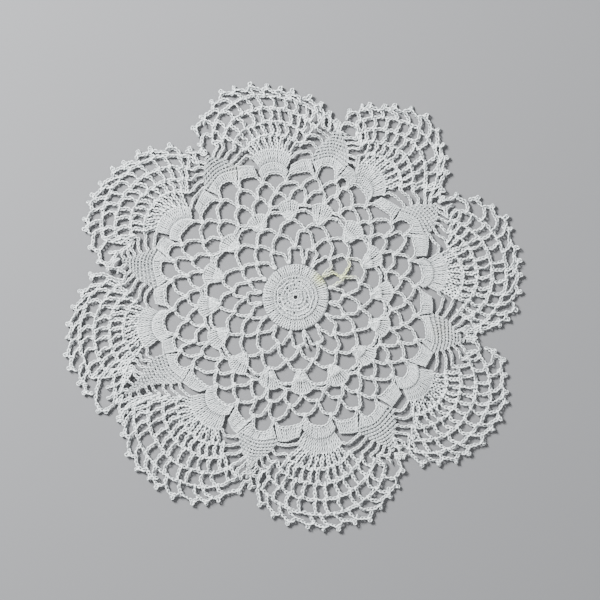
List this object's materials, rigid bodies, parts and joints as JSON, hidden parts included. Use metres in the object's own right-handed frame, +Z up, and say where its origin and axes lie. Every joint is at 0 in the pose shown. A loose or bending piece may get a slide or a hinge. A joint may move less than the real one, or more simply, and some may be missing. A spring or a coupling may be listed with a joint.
{
  "type": "lace doily",
  "caption": "Round crocheted lace doily lying flat: a close centre disc, a net of chain loops, a ring of shells, and a scalloped border of openwork petals with a picot edge.",
  "frame": {"origin": "the middle of the centre disc, on the underside, where the doily meets the surface it lies on", "axes": "+Z up, out of the face; +X to the right and +Y away, as in a view from straight above"},
  "size_m": [0.3003, 0.2948, 0.0014],
  "materials": {
    "crochet_cotton": "bleached mercerised crochet cotton, cool white, matt with a faint thread sheen"
  },
  "bodies": {
    "root": {"doily": "crochet_cotton"}
  },
  "joints": []
}
